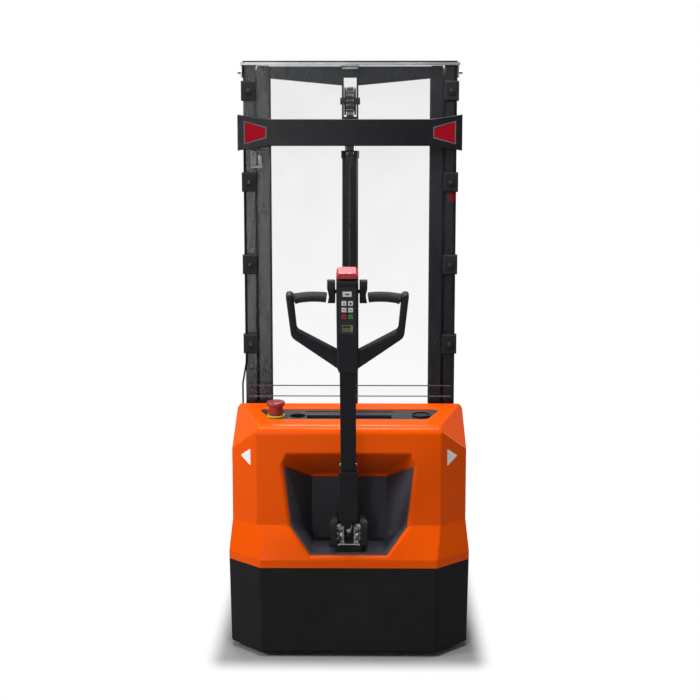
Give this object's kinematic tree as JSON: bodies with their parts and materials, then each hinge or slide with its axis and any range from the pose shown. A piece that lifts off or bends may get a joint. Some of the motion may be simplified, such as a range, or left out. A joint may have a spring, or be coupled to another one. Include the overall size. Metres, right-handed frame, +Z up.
{
  "type": "pallet stacker",
  "caption": "Pedestrian pallet stacker: faceted hood, steering tiller in a lined recess, nested lift mast with guard, chain-lifted carriage and forks over support legs.",
  "frame": {"origin": "on the floor below the middle of the overall box", "axes": "+Z up, +Y towards the fork tips, +X to the right of an operator facing the forks"},
  "size_m": [0.8, 2.0654, 1.95],
  "materials": {
    "black_steel": "satin powder coat",
    "mast_steel": "satin paint",
    "skirt_black": "fine moulded grain",
    "hood_orange": "gloss paint",
    "liner_grey": "moulded grain",
    "tray_grey": "moulded grain",
    "stop_red": "moulded",
    "stop_yellow": "moulded",
    "inlet_black": "moulded",
    "bearing_steel": "ground",
    "battery_black": "moulded",
    "unit_grey": "paint",
    "controller_alu": "anodised",
    "turret_black": "painted casting",
    "tread_dark": "polyurethane tread",
    "castor_zinc": "zinc plated",
    "castor_tread": "polyurethane tread",
    "roller_steel": "turned",
    "barrel_black": "satin paint",
    "rod_chrome": "hard chrome",
    "chain_steel": "oiled",
    "guard_clear": "clear polycarbonate",
    "clip_black": "moulded",
    "zinc": "zinc plated",
    "bar_black": "powder coat",
    "reflector_red": "prismatic reflector",
    "switch_grey": "moulded",
    "hose_black": "smooth cover",
    "yoke_black": "painted casting",
    "arm_black": "satin paint",
    "sleeve_black": "moulded",
    "head_black": "fine moulded grain",
    "grip_rubber": "textured rubber",
    "keypad_grey": "film keypad",
    "display_green": "display window",
    "butterfly_black": "moulded",
    "belly_red": "moulded",
    "key_white": "moulded",
    "key_red": "moulded",
    "key_green": "moulded"
  },
  "bodies": {
    "chassis": {"chassis_frame": "black_steel", "support_legs": "black_steel", "lower_skirt": "skirt_black", "hood": "hood_orange", "recess_liner": "liner_grey", "dash_tray": "tray_grey", "estop_collar": "stop_yellow", "charger_inlet": "inlet_black", "slewing_ring": "bearing_steel", "batteries": "battery_black", "hydraulic_unit": "unit_grey", "motor_controller": "controller_alu", "outer_mast_frame": "mast_steel", "cylinder_barrel": "barrel_black", "guard_panels": "guard_clear", "guard_clips": "clip_black", "guard_rail": "zinc", "reflector_bar": "bar_black", "reflectors": "reflector_red", "limit_switch": "switch_grey", "mast_hose": "hose_black", "chain_rear_strand": "chain_steel"},
    "inner_mast": {"inner_mast_frame": "mast_steel", "lift_rod": "rod_chrome", "pulley_yoke": "black_steel", "chain_wrap": "chain_steel", "chain_front_strand": "chain_steel"},
    "carriage": {"carriage_frame": "black_steel", "forks": "black_steel"},
    "pulley": {"chain_pulley": "roller_steel"},
    "outer_rollers": {"outer_mast_rollers": "roller_steel"},
    "inner_rollers": {"inner_mast_rollers": "roller_steel"},
    "carriage_rollers_low": {"carriage_rollers_low": "roller_steel"},
    "carriage_rollers_high": {"carriage_rollers_high": "roller_steel"},
    "drive_unit": {"drive_turret": "turret_black", "tiller_yoke": "yoke_black", "tiller_hardware": "zinc"},
    "drive_wheel": {"drive_wheel": "tread_dark"},
    "tiller": {"tiller_arm": "arm_black", "tiller_sleeve": "sleeve_black", "tiller_head": "head_black", "handle_grips": "grip_rubber", "keypad_plate": "keypad_grey", "display": "display_green"},
    "butterfly": {"thumb_butterfly": "butterfly_black"},
    "belly_button": {"belly_button": "belly_red"},
    "estop_button": {"estop_button": "stop_red"},
    "castor_right": {"castor_fork_right": "castor_zinc"},
    "castor_left": {"castor_fork_left": "castor_zinc"},
    "castor_wheel_right": {"castor_wheel_right": "castor_tread"},
    "castor_wheel_left": {"castor_wheel_left": "castor_tread"},
    "load_wheel_right": {"load_wheel_right": "castor_tread"},
    "load_wheel_left": {"load_wheel_left": "castor_tread"},
    "horn_key": {"horn_key": "key_white"},
    "raise_key": {"raise_key": "key_white"},
    "fast_key": {"fast_key": "key_white"},
    "lower_key": {"lower_key": "key_white"},
    "slow_key": {"slow_key": "key_white"},
    "off_key": {"off_key": "key_red"},
    "on_key": {"on_key": "key_green"}
  },
  "joints": [
    {"name": "lift", "type": "slide", "parent": "chassis", "child": "inner_mast", "axis": [0, 0, 1], "range_m": [0, 1.42], "deforming": ["chain_rear_strand"]},
    {"name": "carriage_lift", "type": "slide", "parent": "inner_mast", "child": "carriage", "axis": [0, 0, 1], "range_m": [0, 1.42], "deforming": ["chain_front_strand"]},
    {"name": "pulley_turn", "type": "hinge", "parent": "inner_mast", "child": "pulley", "pos_m": [0, -0.22728, 1.818], "axis": [1, 0, 0], "range_deg": [0, 1939.08]},
    {"name": "outer_roller_turn", "type": "hinge", "parent": "chassis", "child": "outer_rollers", "pos_m": [0, -0.22728, 1.8873], "axis": [1, 0, 0], "range_deg": [-1907.29, 0]},
    {"name": "inner_roller_turn", "type": "hinge", "parent": "inner_mast", "child": "inner_rollers", "pos_m": [0, -0.22728, 0.1427], "axis": [1, 0, 0], "range_deg": [0, 1907.29]},
    {"name": "carriage_roller_low_turn", "type": "hinge", "parent": "carriage", "child": "carriage_rollers_low", "pos_m": [0, -0.22728, 0.18], "axis": [1, 0, 0], "range_deg": [0, 1907.29]},
    {"name": "carriage_roller_high_turn", "type": "hinge", "parent": "carriage", "child": "carriage_rollers_high", "pos_m": [0, -0.22728, 0.395], "axis": [1, 0, 0], "range_deg": [-1907.29, 0]},
    {"name": "steer", "type": "hinge", "parent": "chassis", "child": "drive_unit", "pos_m": [0, -0.56028, 0.272], "axis": [0, 0, 1], "range_deg": [-45, 45]},
    {"name": "drive_roll", "type": "hinge", "parent": "drive_unit", "child": "drive_wheel", "pos_m": [0, -0.56028, 0.1], "axis": [1, 0, 0], "continuous": true},
    {"name": "tiller_tilt", "type": "hinge", "parent": "drive_unit", "child": "tiller", "pos_m": [0, -0.62028, 0.425], "axis": [1, 0, 0], "range_deg": [0, 55.5], "stiffness_Nm_per_rad": 16, "springref_deg": -68.75},
    {"name": "butterfly_turn", "type": "hinge", "parent": "tiller", "child": "butterfly", "pos_m": [0, -0.98066, 1.24425], "axis": [1, 0, 0], "range_deg": [-25, 25], "stiffness_Nm_per_rad": 0.6},
    {"name": "belly_push", "type": "slide", "parent": "tiller", "child": "belly_button", "axis": [0, 0.4067, -0.9135], "range_m": [0, 0.006], "stiffness_N_per_m": 1200, "springref_m": -0.004},
    {"name": "estop_push", "type": "slide", "parent": "chassis", "child": "estop_button", "axis": [0, 0.0608, -0.9982], "range_m": [0, 0.006]},
    {"name": "horn_press", "type": "slide", "parent": "tiller", "child": "horn_key", "axis": [0, 0.9135, 0.4067], "range_m": [0, 0.0015], "stiffness_N_per_m": 900, "springref_m": -0.001},
    {"name": "raise_press", "type": "slide", "parent": "tiller", "child": "raise_key", "axis": [0, 0.9135, 0.4067], "range_m": [0, 0.0015], "stiffness_N_per_m": 900, "springref_m": -0.001},
    {"name": "fast_press", "type": "slide", "parent": "tiller", "child": "fast_key", "axis": [0, 0.9135, 0.4067], "range_m": [0, 0.0015], "stiffness_N_per_m": 900, "springref_m": -0.001},
    {"name": "lower_press", "type": "slide", "parent": "tiller", "child": "lower_key", "axis": [0, 0.9135, 0.4067], "range_m": [0, 0.0015], "stiffness_N_per_m": 900, "springref_m": -0.001},
    {"name": "slow_press", "type": "slide", "parent": "tiller", "child": "slow_key", "axis": [0, 0.9135, 0.4067], "range_m": [0, 0.0015], "stiffness_N_per_m": 900, "springref_m": -0.001},
    {"name": "off_press", "type": "slide", "parent": "tiller", "child": "off_key", "axis": [0, 0.9135, 0.4067], "range_m": [0, 0.0015], "stiffness_N_per_m": 900, "springref_m": -0.001},
    {"name": "on_press", "type": "slide", "parent": "tiller", "child": "on_key", "axis": [0, 0.9135, 0.4067], "range_m": [0, 0.0015], "stiffness_N_per_m": 900, "springref_m": -0.001},
    {"name": "castor_swivel_right", "type": "hinge", "parent": "chassis", "child": "castor_right", "pos_m": [0.275, -0.49228, 0.262], "axis": [0, 0, 1], "continuous": true},
    {"name": "castor_roll_right", "type": "hinge", "parent": "castor_right", "child": "castor_wheel_right", "pos_m": [0.275, -0.53228, 0.0625], "axis": [1, 0, 0], "continuous": true},
    {"name": "load_roll_right", "type": "hinge", "parent": "chassis", "child": "load_wheel_right", "pos_m": [0.195, 0.90772, 0.04], "axis": [1, 0, 0], "continuous": true},
    {"name": "castor_swivel_left", "type": "hinge", "parent": "chassis", "child": "castor_left", "pos_m": [-0.275, -0.49228, 0.262], "axis": [0, 0, 1], "continuous": true},
    {"name": "castor_roll_left", "type": "hinge", "parent": "castor_left", "child": "castor_wheel_left", "pos_m": [-0.275, -0.53228, 0.0625], "axis": [1, 0, 0], "continuous": true},
    {"name": "load_roll_left", "type": "hinge", "parent": "chassis", "child": "load_wheel_left", "pos_m": [-0.195, 0.90772, 0.04], "axis": [1, 0, 0], "continuous": true}
  ],
  "couplings": [
    {"joint": "carriage_lift", "follows": "lift", "ratio": 1},
    {"joint": "pulley_turn", "follows": "lift", "rad_per_m": 23.81},
    {"joint": "outer_roller_turn", "follows": "lift", "rad_per_m": -23.419},
    {"joint": "inner_roller_turn", "follows": "lift", "rad_per_m": 23.419},
    {"joint": "carriage_roller_low_turn", "follows": "lift", "rad_per_m": 23.419},
    {"joint": "carriage_roller_high_turn", "follows": "lift", "rad_per_m": -23.419}
  ]
}
